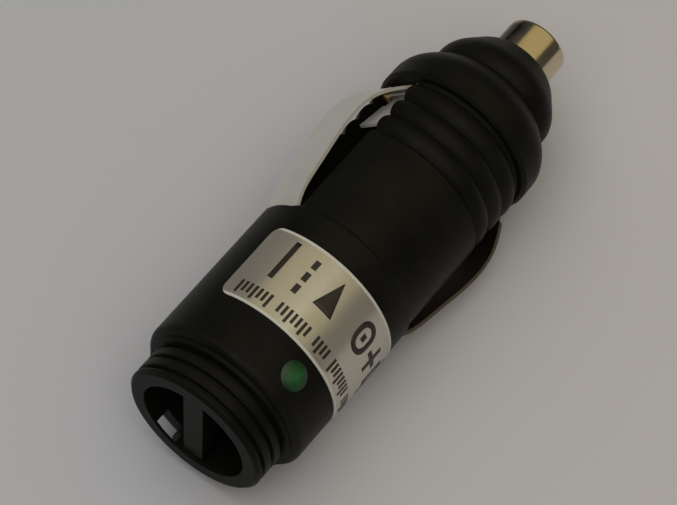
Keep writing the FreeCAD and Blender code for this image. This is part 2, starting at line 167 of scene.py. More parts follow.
DRAWN_STEEL = MetalFinish((0.52, 0.52, 0.51), (0.35, 0.34, 0.32), 0.30)


@dataclass(frozen=True)
class PaintedDarkReflection:
    """Painted dark reflection on the plated tip: a brown side facing +Y, fading all round, in
    place of the dark room the tip mirrors there.

    Attributes:
        colour: Colour of the painted dark reflection.
        inner: Angle from +Y up to which it is full, in degrees.
        outer: Angle from +Y at which it ends, in degrees.
        ends: Where it starts to fade and ends, in millimetres from the rear rim.
        ragged: Wander of its border in radians.
    """

    # painted dark reflection: brown standing in for the dark room mirrored by the tip's +Y side
    colour: Colour = (0.055, 0.042, 0.030)
    inner: float = 56.0
    outer: float = 80.0
    ends: Span = (64.0, 65.1)
    ragged: float = 0.5


@dataclass(frozen=True)
class PaintedLightLeaf:
    """Painted light on a strip's inner leaf: a pale, less metallic colour standing in for light
    reaching it through the gap.

    Attributes:
        colour: Pale colour of the painted light.
        angle: Direction of the strip's channel in degrees from +Y.
        below: Height over the axis under which the painted light lies, in millimetres.
        blend: Width of the change in millimetres.
    """

    # painted light: pale colour standing in for light that reaches the inner leaf through the gap
    colour: Colour = (0.95, 0.95, 0.93)
    angle: float = 41.0
    below: float = 8.75
    blend: float = 0.5


@dataclass(frozen=True)
class PlainFinish:
    """Even coating, fibre, lacquer or glass.

    Attributes:
        colour: Base colour.
        roughness: Surface roughness.
        transmission: Share of light let through.
        cloud: Share of the darker tone in cloudy patches.
        darker: Darker tone as a share of the colour.
        cloudy: Span of the broad grain over which patches appear.
    """

    colour: Colour
    roughness: float = 0.5
    transmission: float = 0.0
    cloud: float = 0.25
    darker: float = 0.6
    cloudy: Span = (0.3, 0.7)


@dataclass(frozen=True)
class FoilFinish:
    """Silvery printed foil with a pale edge.

    Attributes:
        silver: Colour of the foil.
        edge: Colour of the thin pale border.
        border: Width of the border in metres.
        fade: Start and end of the border's fade as shares of its width.
        roughness: Surface roughness.
        metallic: Share of pure metal reflection.
        edge_loss: Metal reflection that the border lacks.
        dull: Dull tone as a share of the silver.
        dulled_and_painted_shade: Share of the dull tone in cloudy patches.
        cloudy: Span of the broad grain over which patches appear.
        crinkle: Depth of the fine grain in metres.
    """

    silver: Colour = (0.57, 0.55, 0.485)
    edge: Colour = (0.60, 0.60, 0.57)
    border: float = 0.00032
    fade: Span = (1.3, 0.7)
    roughness: float = 0.27
    metallic: float = 0.66
    edge_loss: float = 0.7
    dull: float = 0.7
    dulled_and_painted_shade: float = 0.3
    cloudy: Span = (0.3, 0.75)
    crinkle: float = 0.000004


@dataclass(frozen=True)
class LensFinish:
    """Green diffusing lens of the pilot lamp.

    Attributes:
        rim: Colour at the edge of the lens.
        heart: Colour over the chip.
        fade: Where the heart ends and is full, as shares of the radius.
        mottle: Span of the broad grain over which the heart is mottled.
        faint: Share of the heart left in the darkest mottles.
        grain: Fineness of the mottles.
        roughness: Surface roughness.
        glow: Share of light scattered inside.
        depth: Depth of that scatter in metres.
    """

    rim: Colour = (0.003, 0.026, 0.008)
    heart: Colour = (0.020, 0.135, 0.036)
    fade: Span = (1.05, 0.25)
    mottle: Span = (0.25, 0.7)
    faint: float = 0.45
    grain: float = 5.0
    roughness: float = 0.35
    glow: float = 0.1
    depth: float = 0.0006


@dataclass(frozen=True)
class TableFinish:
    """Matt table top with painted light: a cool tint on the window side and a warm tint away from
    it.

    Attributes:
        cool: Colour on the window side, with the window light's cool tint painted in.
        warm: Colour on the other side, with the room light's warm tint painted in.
        across: Direction in which it turns warmer.
        reach: Distance either side of the plug over which it turns, in metres.
        roughness: Surface roughness.
        gloss: Strength of the surface reflection.
    """

    # painted light: the two colours carry the tints of the cool window light and the warm room
    # light
    cool: Colour = (0.56, 0.585, 0.67)
    warm: Colour = (0.60, 0.60, 0.65)
    across: Tuple[float, float, float] = (0.6, -0.8, 0.0)
    reach: float = 0.05
    roughness: float = 0.8
    gloss: float = 0.2


def radial_point(x: float, radius: float, angle: float) -> Vector:
    """Point of the plug by axial place, radius and angle.

    Args:
        x: Distance forward of the rear rim, in millimetres.
        radius: Distance from the axis, in millimetres.
        angle: Degrees from +Y toward +Z.

    Returns:
        The point in the row frame, in metres.
    """
    turn = math.radians(angle)
    across, up = radius * math.cos(turn), radius * math.sin(turn)
    return Vector((x - HALF_LENGTH, across, AXIS_Z + up)) * MM


def grid_faces(rows: int, cols: int, wrap: bool = False) -> np.ndarray:
    """Quads of a parametric grid.

    Args:
        rows: Number of points along the first parameter.
        cols: Number of points along the second parameter.
        wrap: True if the second parameter closes on itself.

    Returns:
        Vertex numbers of the quads, four in a row.
    """
    index = np.arange(rows * cols).reshape(rows, cols)
    if wrap:
        index = np.concatenate([index, index[:, :1]], axis=1)
    corners = [index[:-1, :-1], index[1:, :-1], index[1:, 1:], index[:-1, 1:]]
    return np.stack(corners, axis=-1).reshape(-1, 4)


def mesh_object(name: str, points: np.ndarray, quads: np.ndarray,
                caps: Sequence[Sequence[int]] = ()) -> bpy.types.Object:
    """Makes a smooth mesh object at the origin.

    Args:
        name: Name of the object.
        points: Vertex positions in metres.
        quads: Vertex numbers of the quads.
        caps: Vertex numbers of faces that close open ends.

    Returns:
        The new object, linked to the scene.
    """
    mesh = bpy.data.meshes.new(name)
    faces = quads.tolist() + [list(cap) for cap in caps]
    mesh.from_pydata(points.reshape(-1, 3).tolist(), [], faces)
    mesh.polygons.foreach_set("use_smooth", np.ones(len(mesh.polygons), dtype=bool))
    mesh.update()
    obj = bpy.data.objects.new(name, mesh)
    bpy.context.scene.collection.objects.link(obj)
    return obj


class NodeTools:
    """Short forms for building shader trees."""

    def __init__(self, tree: bpy.types.NodeTree) -> None:
        """Keeps the tree that nodes are added to.

        Args:
            tree: Shader tree of a material, group or world.
        """
        self.tree = tree

    def add(self, kind: str, **values: object) -> bpy.types.Node:
        """Adds a node and sets its properties.

        Args:
            kind: Node type name.
            **values: Properties of the node.

        Returns:
            The new node.
        """
        node = self.tree.nodes.new(kind)
        for key, value in values.items():
            setattr(node, key, value)
        return node

    def feed(self, socket: bpy.types.NodeSocket, value: Value) -> None:
        """Links an output to a socket, or sets a constant on it.

        Args:
            socket: Input socket.
            value: Output socket or constant.
        """
        if isinstance(value, bpy.types.NodeSocket):
            self.tree.links.new(value, socket)
        elif socket.type == "RGBA" and len(value) == 3:
            socket.default_value = (*value, 1.0)
        else:
            socket.default_value = value

    def coords(self) -> bpy.types.NodeSocket:
        """Object coordinates."""
        return self.add("ShaderNodeTexCoord").outputs["Object"]

    def math(self, operation: str, a: Value, b: Value = 0.0,
             c: Value = 0.0) -> bpy.types.NodeSocket:
        """Adds one sum.

        Args:
            operation: Name of the sum.
            a: First value.
            b: Second value.
            c: Third value, where the sum has one.

        Returns:
            Output of the sum.
        """
        node = self.add("ShaderNodeMath", operation=operation)
        for socket, value in zip(node.inputs, (a, b, c)):
            self.feed(socket, value)
        return node.outputs[0]

    def along(self, direction: Sequence[float]) -> bpy.types.NodeSocket:
        """Distance from the origin along a direction.

        Args:
            direction: Unit direction.

        Returns:
            Dot product of the object coordinates and the direction.
        """
        node = self.add("ShaderNodeVectorMath", operation="DOT_PRODUCT")
        self.feed(node.inputs[0], self.coords())
        node.inputs[1].default_value = direction
        return node.outputs["Value"]

    def mix(self, share: Value, a: Value, b: Value) -> bpy.types.NodeSocket:
        """Mixes two colours.

        Args:
            share: Share of the second colour.
            a: First colour.
            b: Second colour.

        Returns:
            The mixed colour.
        """
        node = self.add("ShaderNodeMix", data_type="RGBA")
        self.feed(node.inputs["Factor"], share)
        self.feed(node.inputs[6], a)
        self.feed(node.inputs[7], b)
        return node.outputs[2]

    def ramp(self, value: Value, low: float, high: float,
             to_low: float = 0.0, to_high: float = 1.0) -> bpy.types.NodeSocket:
        """Maps a span of values onto another, with a smooth step.

        Args:
            value: Value to map.
            low: Start of the span.
            high: End of the span.
            to_low: Result at the start.
            to_high: Result at the end.

        Returns:
            The mapped value.
        """
        node = self.add("ShaderNodeMapRange", interpolation_type="SMOOTHSTEP")
        for socket, entry in zip(node.inputs, (value, low, high, to_low, to_high)):
            self.feed(socket, entry)
        return node.outputs[0]

    def noise(self, where: Value, scale: float, detail: float) -> bpy.types.NodeSocket:
        """Adds soft noise.

        Args:
            where: Coordinates.
            scale: Cells per metre.
            detail: Number of finer layers.

        Returns:
            Noise between 0 and 1.
        """
        node = self.add("ShaderNodeTexNoise")
        self.feed(node.inputs["Vector"], where)
        node.inputs["Scale"].default_value = scale
        node.inputs["Detail"].default_value = detail
        return node.outputs[0]


GroupParts = Tuple[bpy.types.NodeTree, NodeTools, bpy.types.Node, bpy.types.Node]
MaterialParts = Tuple[bpy.types.Material, NodeTools, bpy.types.Node]


class SharedEffects:
    """Shader groups used by several finishes."""

    FINE = (2600.0, 4.0)
    BROAD = (170.0, 3.0)

    def __init__(self) -> None:
        """Builds each group once."""
        self.grain = self._grain()
        self.around = self._around()

    @staticmethod
    def _group(name: str, inputs: Sequence[str], outputs: Sequence[str]) -> GroupParts:
        """Makes an empty group with float sockets.

        Args:
            name: Name of the group.
            inputs: Names of its inputs.
            outputs: Names of its outputs.

        Returns:
            The group, its tools, its input node and its output node.
        """
        group = bpy.data.node_groups.new(name, "ShaderNodeTree")
        for side, entries in (("INPUT", inputs), ("OUTPUT", outputs)):
            for entry in entries:
                group.interface.new_socket(entry, in_out=side, socket_type="NodeSocketFloat")
        tools = NodeTools(group)
        return group, tools, tools.add("NodeGroupInput"), tools.add("NodeGroupOutput")

    def _grain(self) -> bpy.types.NodeTree:
        """Fine grain and broad cloudy wear on object coordinates.

        Returns:
            Group with a Scale input and Fine and Broad outputs.
        """
        group, tools, source, sink = self._group("surface_grain", ["Scale"], ["Fine", "Broad"])
        scaled = tools.add("ShaderNodeVectorMath", operation="SCALE")
        tools.feed(scaled.inputs[0], tools.coords())
        tools.feed(scaled.inputs["Scale"], source.outputs["Scale"])
        tools.feed(sink.inputs["Fine"], tools.noise(scaled.outputs[0], *self.FINE))
        tools.feed(sink.inputs["Broad"], tools.noise(scaled.outputs[0], *self.BROAD))
        return group

    def _around(self) -> bpy.types.NodeTree:
        """Axial place and angle about the plug's axis.

        Returns:
            Group with Along in metres from the rear rim and Angle in radians outputs.
        """
        group, tools, _, sink = self._group("around_axis", [], ["Along", "Angle"])
        split = tools.add("ShaderNodeSeparateXYZ")
        tools.feed(split.inputs[0], tools.coords())
        along = tools.math("ADD", split.outputs["X"], HALF_LENGTH * MM)
        height = tools.math("SUBTRACT", split.outputs["Z"], AXIS_Z * MM)
        tools.feed(sink.inputs["Along"], along)
        tools.feed(sink.inputs["Angle"], tools.math("ARCTAN2", height, split.outputs["Y"]))
        return group


class Finishes:
    """Makes the procedural materials of the plug."""

    def __init__(self) -> None:
        """Prepares the shared shader groups."""
        self.shared = SharedEffects()

    @staticmethod
    def _start(name: str) -> MaterialParts:
        """Makes a material with an empty tree, one BSDF and an output.

        Args:
            name: Name of the material.

        Returns:
            The material, its tools and its BSDF node.
        """
        material = bpy.data.materials.new(name)
        material.use_nodes = True
        material.node_tree.nodes.clear()
        tools = NodeTools(material.node_tree)
        bsdf = tools.add("ShaderNodeBsdfPrincipled")
        output = tools.add("ShaderNodeOutputMaterial")
        tools.feed(output.inputs["Surface"], bsdf.outputs[0])
        return material, tools, bsdf

    def _grain(self, tools: NodeTools, scale: float = 1.0) -> bpy.types.Node:
        """Adds one use of the shared grain.

        Args:
            tools: Tools of the material.
            scale: Fineness of the grain.

        Returns:
            The group node.
        """
        node = tools.add("ShaderNodeGroup", node_tree=self.shared.grain)
        node.inputs["Scale"].default_value = scale
        return node

    def _around(self, tools: NodeTools) -> bpy.types.Node:
        """Adds one use of the shared place about the axis.

        Args:
            tools: Tools of the material.

        Returns:
            The group node.
        """
        return tools.add("ShaderNodeGroup", node_tree=self.shared.around)

    @staticmethod
    def _bump(tools: NodeTools, bsdf: bpy.types.Node, height: Value, depth: float,
              edge: float = 0.0) -> None:
        """Gives a BSDF a bumpy normal.

        Args:
            tools: Tools of the material.
            bsdf: BSDF to change.
            height: Height between 0 and 1.
            depth: Depth of the bump in metres.
            edge: Radius of the softened edges in metres.
        """
        bump = tools.add("ShaderNodeBump")
        bump.inputs["Strength"].default_value = 1.0
        bump.inputs["Distance"].default_value = depth
        tools.feed(bump.inputs["Height"], height)
        if edge > 0.0:
            bevel = tools.add("ShaderNodeBevel", samples=4)
            bevel.inputs["Radius"].default_value = edge
            tools.feed(bump.inputs["Normal"], bevel.outputs[0])
        tools.feed(bsdf.inputs["Normal"], bump.outputs[0])

    @staticmethod
    def _vary_roughness(tools: NodeTools, bsdf: bpy.types.Node, grain: Value, mean: float,
                        spread: float) -> None:
        """Varies the roughness of a BSDF about its mean.

        Args:
            tools: Tools of the material.
            bsdf: BSDF to change.
            grain: Grain between 0 and 1.
            mean: Mean roughness.
            spread: Difference between the roughest and smoothest grain.
        """
        rough = tools.math("MULTIPLY_ADD", grain, spread, mean - 0.5 * spread)
        tools.feed(bsdf.inputs["Roughness"], rough)

    def _thread_cut(self, tools: NodeTools, thread: Thread) -> bpy.types.NodeSocket:
        """Saw-tooth flanks along a helix: |fract(along / pitch - turns) - 0.5|.

        Args:
            tools: Tools of the material.
            thread: Thread to draw.

        Returns:
            Flank height from 0 to 0.5, and 0 off the thread.
        """
        place = self._around(tools)
        turns = tools.math("DIVIDE", place.outputs["Angle"], FULL_TURN)
        rise = tools.math("DIVIDE", place.outputs["Along"], thread.pitch * MM)
        tooth = tools.math("FRACT", tools.math("SUBTRACT", rise, turns))
        flank = tools.math("ABSOLUTE", tools.math("SUBTRACT", tooth, 0.5))
        low = tools.math("GREATER_THAN", place.outputs["Along"], thread.x[0] * MM)
        high = tools.math("LESS_THAN", place.outputs["Along"], thread.x[1] * MM)
        return tools.math("MULTIPLY", tools.math("MULTIPLY", low, high), flank)

    def plastic(self, name: str, finish: PlasticFinish,
                thread: Optional[Thread] = None) -> bpy.types.Material:
        """Black plastic, with a screw thread drawn on it where it has one.

        Args:
            name: Name of the material.
            finish: Finish to use.
            thread: Thread of the moulding, if any.

        Returns:
            The material.
        """
        material, tools, bsdf = self._start(name)
        grain = self._grain(tools)
        wear = tools.ramp(grain.outputs["Broad"], *finish.worn)
        tools.feed(bsdf.inputs["Base Color"], tools.mix(wear, finish.dark, finish.light))
        self._vary_roughness(tools, bsdf, grain.outputs["Fine"], finish.roughness, finish.spread)
        bsdf.inputs["Specular IOR Level"].default_value = finish.gloss
        height = tools.math("MULTIPLY", grain.outputs["Fine"], finish.grain)
        if thread:
            cut = self._thread_cut(tools, thread)
            height = tools.math("MULTIPLY_ADD", cut, thread.flank * MM, height)
        self._bump(tools, bsdf, tools.math("DIVIDE", height, MM), MM, finish.edge)
        return material

    def metal(self, name: str, finish: MetalFinish, dark_reflection: Optional[PaintedDarkReflection] = None,
              leaf: Optional[PaintedLightLeaf] = None) -> bpy.types.Material:
        """Plated or plain metal with faint dull patches.

        Args:
            name: Name of the material.
            finish: Finish to use.
            dark_reflection: Painted dark reflection on the +Y side, where the piece has one.
            leaf: Painted light on an inner leaf, where the piece has one.

        Returns:
            The material.
        """
        material, tools, bsdf = self._start(name)
        grain = self._grain(tools, finish.scale)
        broad = grain.outputs["Broad"]
        patch = tools.ramp(broad, *finish.patches, 0.0, finish.stained)
        colour = tools.mix(patch, finish.colour, finish.stain)
        # painted dark reflection: the tip's +Y side is mixed toward brown, standing in for the
        # dark room it mirrors
        if dark_reflection:
            place = self._around(tools)
            ragged = tools.math("MULTIPLY_ADD", broad, dark_reflection.ragged, -0.5 * dark_reflection.ragged)
            away = tools.math("ADD", tools.math("ABSOLUTE", place.outputs["Angle"]), ragged)
            side = tools.ramp(away, math.radians(dark_reflection.outer), math.radians(dark_reflection.inner))
            reach = tools.ramp(place.outputs["Along"], dark_reflection.ends[1] * MM, dark_reflection.ends[0] * MM)
            colour = tools.mix(tools.math("MULTIPLY", side, reach), colour, dark_reflection.colour)
        bsdf.inputs["Metallic"].default_value = finish.metallic
        # painted light: below a height the strip turns pale and less metallic, standing in for
        # light on its inner leaf
        if leaf:
            turn = math.radians(leaf.angle)
            over = tools.along((0.0, math.cos(turn), math.sin(turn)))
            edge = leaf.below + AXIS_Z * math.sin(turn)
            leaf_light_mask = tools.ramp(over, (edge + leaf.blend) * MM, edge * MM)
            colour = tools.mix(leaf_light_mask, colour, leaf.colour)
            bare = tools.math("MULTIPLY_ADD", leaf_light_mask, -finish.metallic, finish.metallic)
            tools.feed(bsdf.inputs["Metallic"], bare)
        tools.feed(bsdf.inputs["Base Color"], colour)
        self._vary_roughness(tools, bsdf, broad, finish.roughness, finish.spread)
        self._bump(tools, bsdf, grain.outputs["Fine"], finish.brushed)
        return material

    def plain(self, name: str, finish: PlainFinish) -> bpy.types.Material:
        """Even coating, fibre, lacquer or glass.

        Args:
            name: Name of the material.
            finish: Finish to use.

        Returns:
            The material.
        """
        material, tools, bsdf = self._start(name)
        grain = self._grain(tools)
        tone = tools.ramp(grain.outputs["Broad"], *finish.cloudy, 0.0, finish.cloud)
        darker = tuple(finish.darker * part for part in finish.colour)
        tools.feed(bsdf.inputs["Base Color"], tools.mix(tone, finish.colour, darker))
        bsdf.inputs["Roughness"].default_value = finish.roughness
        bsdf.inputs["Transmission Weight"].default_value = finish.transmission
        return material

    def table(self, name: str, finish: TableFinish) -> bpy.types.Material:
        """Matt table top with painted light: a cool tint on the window side and a warm tint away
        from it.

        Args:
            name: Name of the material.
            finish: Finish to use.

        Returns:
            The material.
        """
        material, tools, bsdf = self._start(name)
        # painted light: colour shifts from the window light's cool tint to the room light's warm
        # tint
        share = tools.ramp(tools.along(finish.across), -finish.reach, finish.reach)
        tools.feed(bsdf.inputs["Base Color"], tools.mix(share, finish.cool, finish.warm))
        bsdf.inputs["Roughness"].default_value = finish.roughness
        bsdf.inputs["Specular IOR Level"].default_value = finish.gloss
        return material

    def foil(self, name: str, finish: FoilFinish, x: Span) -> bpy.types.Material:
        """Silvery foil with a thin pale border along both long edges.

        Args:
            name: Name of the material.
            finish: Finish to use.
            x: Rear and front edge of the label in millimetres from the rear rim.

        Returns:
            The material.
        """
        material, tools, bsdf = self._start(name)
        place = self._around(tools)
        grain = self._grain(tools)
        middle, half = 0.5 * (x[0] + x[1]) * MM, 0.5 * (x[1] - x[0]) * MM
        reach = tools.math("ABSOLUTE", tools.math("SUBTRACT", place.outputs["Along"], middle))
        rim = tools.ramp(reach, *(half - finish.border * share for share in finish.fade))
        cloudy = tools.ramp(grain.outputs["Broad"], *finish.cloudy, 0.0, finish.dulled_and_painted_shade)
        dull = tuple(finish.dull * part for part in finish.silver)
        silver = tools.mix(cloudy, finish.silver, dull)
        tools.feed(bsdf.inputs["Base Color"], tools.mix(rim, silver, finish.edge))
        bare = tools.math("MULTIPLY_ADD", rim, -finish.edge_loss, finish.metallic)
        tools.feed(bsdf.inputs["Metallic"], bare)
        bsdf.inputs["Roughness"].default_value = finish.roughness
        self._bump(tools, bsdf, grain.outputs["Fine"], finish.crinkle)
        return material

    def lens(self, name: str, finish: LensFinish, centre: Vector,
             radius: float) -> bpy.types.Material:
        """Green lens, paler over the chip.

        Args:
            name: Name of the material.
            finish: Finish to use.
            centre: Middle of the dome in metres.
            radius: Radius of the lens in metres.

        Returns:
            The material.
        """
        material, tools, bsdf = self._start(name)
        away = tools.add("ShaderNodeVectorMath", operation="DISTANCE")
        tools.feed(away.inputs[0], tools.coords())
        away.inputs[1].default_value = centre
        grain = self._grain(tools, finish.grain)
        heart = tools.ramp(away.outputs["Value"], *(radius * share for share in finish.fade))
        mottle = tools.ramp(grain.outputs["Broad"], *finish.mottle, finish.faint, 1.0)
        mottled = tools.math("MULTIPLY", heart, mottle)
        tools.feed(bsdf.inputs["Base Color"], tools.mix(mottled, finish.rim, finish.heart))
        bsdf.inputs["Roughness"].default_value = finish.roughness
        bsdf.inputs["Subsurface Weight"].default_value = finish.glow
        bsdf.inputs["Subsurface Scale"].default_value = finish.depth
        return material


def dress(names: Sequence[str], material: bpy.types.Material) -> None:
    """Gives CAD nodes one material.

    Args:
        names: Names of the nodes.
        material: Material to give.
    """
    for name in names:
        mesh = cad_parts[name].data
        mesh.materials.clear()
        mesh.materials.append(material)


@dataclass
class Housing:
    """Moulded barrel and screwed nose cap.

    Attributes:
        finish: Plastic of both mouldings.
        thread: Screw thread of the barrel's spigot.
    """

    finish: PlasticFinish = PlasticFinish()
    thread: Thread = Thread()

    def dress(self, finishes: Finishes) -> None:
        """Gives the mouldings their plastic.

        Args:
            finishes: Maker of the materials.
        """
        dress(["barrel"], finishes.plastic("barrel_plastic", self.finish, self.thread))
        dress(["nose_cap"], finishes.plastic("cap_plastic", self.finish))


@dataclass
class Contacts:
    """Tip contact, spring strips and the metal behind them.

    Attributes:
        gilt: Plating of the tip.
        dark_reflection: Painted dark reflection on the tip's +Y side.
        nickel: Plating of the upper strip.
        leaf: Painted light on the inner leaf of the upper strip.
        dulled_and_painted_shade: Painted shade on the lower strip: its plating darkened to stand
            in for the shade it lies in.
        steel: Drawn steel of the pins.
        brass: Plain brass of the frame and terminal.
    """

    gilt: MetalFinish = MetalFinish((0.66, 0.58, 0.41), (0.52, 0.43, 0.28), 0.16, stained=0.25)
    # painted dark reflection on the tip's +Y side
    dark_reflection: PaintedDarkReflection = PaintedDarkReflection()
    nickel: MetalFinish = MetalFinish((0.72, 0.71, 0.68), (0.57, 0.555, 0.52), 0.34,
                                      metallic=0.6)
    # painted light on the upper strip's inner leaf
    leaf: PaintedLightLeaf = PaintedLightLeaf()
    # painted shade: the lower strip's plating is darkened to stand in for its shade and dark
    # reflections
    dulled_and_painted_shade: MetalFinish = MetalFinish((0.20, 0.175, 0.135), (0.10, 0.08, 0.06), 0.45)
    steel: MetalFinish = DRAWN_STEEL
    brass: MetalFinish = MetalFinish((0.72, 0.54, 0.25), (0.40, 0.28, 0.12), 0.32)

    def dress(self, finishes: Finishes) -> None:
        """Gives the metal pieces their plating.

        Args:
            finishes: Maker of the materials.
        """
        nickel = finishes.metal("strip_nickel", self.nickel, leaf=self.leaf)
        dress(["tip_contact"], finishes.metal("tip_gilt", self.gilt, self.dark_reflection))
        dress(["contact_strip_upper"], nickel)
        # painted shade on the lower strip
        dress(["contact_strip_lower"], finishes.metal("strip_painted_shade", self.dulled_and_painted_shade))
        dress(["anchor_pin_upper", "anchor_pin_lower"], finishes.metal("pin_steel", self.steel))
        dress(["ground_frame", "centre_terminal"], finishes.metal("plain_brass", self.brass))


@dataclass
class FuseTrain:
    """Fuse, its spring and the insulating washer.

    Attributes:
        spring_x: Rear and front of the spring in millimetres from the rear rim.
        spring_r: Radius of the coil in millimetres.
        wire_r: Radius of the spring wire in millimetres.
        turns: Turns of the coil.
        steps: Mesh rows in one turn.
        sides: Mesh points round the wire.
        travel: Inward travel of the tip in millimetres; not used.
        steel: Drawn steel of the spring.
        plating: Bright plating of the fuse's caps and wire.
        glass: Clear tube of the fuse.
        fibre: Dull fibre of the washer.
    """

    spring_x: Span = (25.9, 36.45)
    spring_r: float = 2.2
    wire_r: float = 0.3
    turns: int = 5
    steps: int = 40
    sides: int = 12
    travel: float = 3.2
    steel: MetalFinish = DRAWN_STEEL
    plating: MetalFinish = MetalFinish((0.78, 0.78, 0.76), (0.5, 0.5, 0.48), 0.2)
    glass: PlainFinish = PlainFinish((0.9, 0.94, 0.92), 0.05, 1.0)
    fibre: PlainFinish = PlainFinish((0.20, 0.08, 0.045), 0.7)

    def build(self, finishes: Finishes) -> None:
        """Makes the smooth coil that stands for the faceted spring.

        A circle of the wire's radius is carried along a helix about the axis.

        Args:
            finishes: Maker of the materials.
        """
        along = np.linspace(0.0, 1.0, self.turns * self.steps + 1)[:, None]
        round_wire = np.linspace(0.0, FULL_TURN, self.sides, endpoint=False)[None, :]
        turn = FULL_TURN * self.turns * along
        rear, front = self.spring_x[0] + self.wire_r, self.spring_x[1] - self.wire_r
        reach = self.spring_r + self.wire_r * np.cos(round_wire)
        x = rear + (front - rear) * along + self.wire_r * np.sin(round_wire) - HALF_LENGTH
        y, z = -reach * np.sin(turn), AXIS_Z + reach * np.cos(turn)
        points = np.stack(np.broadcast_arrays(x, y, z), axis=-1)
        last = self.sides * (len(along) - 1)
        caps = (range(self.sides), range(last + self.sides - 1, last - 1, -1))
        quads = grid_faces(len(along), self.sides, wrap=True)
        coil = mesh_object("fuse_coil", points * MM, quads, caps)
        coil.data.materials.append(finishes.metal("coil_steel", self.steel))
        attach(coil, Body.BARREL.value)
        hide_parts("fuse_spring")
        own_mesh(coil)

    def dress(self, finishes: Finishes) -> None:
        """Gives the fuse and washer their finishes.

        Args:
            finishes: Maker of the materials.
        """
        plated = ["fuse_cap_front", "fuse_cap_rear", "fuse_element"]
        dress(plated, finishes.metal("fuse_plating", self.plating))
        dress(["fuse_glass"], finishes.plain("fuse_tube_glass", self.glass))
        dress(["nose_washer"], finishes.plain("washer_fibre", self.fibre))
        dress(["fuse_spring"], finishes.metal("spring_steel", self.steel))


@dataclass
class PilotLamp:
    """Green lamp with its leads, board and resistor.

    Attributes:
        x: Place along the plug in millimetres from the rear rim.
        angle: Degrees from +Y toward +Z.
        radius: Radius of the lens in millimetres.
        top: Height of the dome above the axis in millimetres.
        finish: Finish of the lens.
        leads: Tinned wire of the leads.
        board: Laminate of the board.
        lacquer: Coating of the resistor.
    """

    x: float = 8.7
    angle: float = 131.0
    radius: float = 1.7
    top: float = 10.75
    finish: LensFinish = LensFinish()
    leads: MetalFinish = MetalFinish((0.68, 0.68, 0.67), (0.45, 0.45, 0.44), 0.3)
    board: PlainFinish = PlainFinish((0.28, 0.17, 0.07), 0.6)
    lacquer: PlainFinish = PlainFinish((0.55, 0.38, 0.22), 0.3)

    def dress(self, finishes: Finishes) -> None:
        """Gives the lamp pieces their finishes.

        Args:
            finishes: Maker of the materials.
        """
        centre = radial_point(self.x, self.top, self.angle)
        lens = finishes.lens("green_lens", self.finish, centre, self.radius * MM)
        dress(["indicator_lamp"], lens)
        dress(["lamp_lead_front", "lamp_lead_rear"], finishes.metal("tinned_lead", self.leads))
        dress(["lamp_board"], finishes.plain("board_laminate", self.board))
        dress(["lamp_resistor"], finishes.plain("resistor_lacquer", self.lacquer))


@dataclass(frozen=True)
class MarkSizes:
    """Sizes of the tall printed marks, in millimetres unless they are shares.

    Attributes:
        x: Rear and front of the marks from the rear rim.
        stroke: Width of a stroke.
        wide: Half width of a mark.
        broad: Half width of the triangle and cross as a share of wide.
        dashes: Number of dashes.
        dash: Length of a dash as a share of its step.
        triangle_inset: Room at both ends of the triangle.
        triangle_top: Width of the triangle's top as a share of its foot.
        ring_inset: Room at both ends of the ring.
        ring_wide: Half width of the ring as a share of wide.
        ring_bend: Power that squares the ring off.
        dot: Length of the ring's dot as a share of the stroke.
        arm: Half length of the cross.
        box_inset: Room at both ends of the box's sides.
        box_end: Distance of the box's end strokes from both ends.
        hair: Width of the box's middle line as a share of the stroke.
    """

    x: Span = (15.5, 20.9)
    stroke: float = 0.68
    wide: float = 1.15
    broad: float = 1.2
    dashes: int = 3
    dash: float = 0.66
    triangle_inset: float = 0.6
    triangle_top: float = 0.04
    ring_inset: float = 0.7
    ring_wide: float = 1.35
    ring_bend: float = 0.7
    dot: float = 1.3
    arm: float = 1.7
    box_inset: float = 1.0
    box_end: float = 1.3
    hair: float = 0.6


@dataclass(frozen=True)
class TickRow:
    """Row of short ticks in groups, in millimetres unless stated.

    Attributes:
        x: Rear and front of the ticks from the rear rim.
        start: Angle of the first tick in degrees from +Y.
        counts: Ticks in each group.
        width: Width of a tick.
        pitch: Step from tick to tick.
        gap: Extra step between groups.
        short: How much shorter the short ticks are.
        every: One tick in this many is long.
    """

    x: Span = (12.1, 13.9)
    start: float = 67.0
    counts: Tuple[int, ...] = (7, 7, 4, 8, 5, 6)
    width: float = 0.36
    pitch: float = 0.66
    gap: float = 0.75
    short: float = 0.45
    every: int = 3


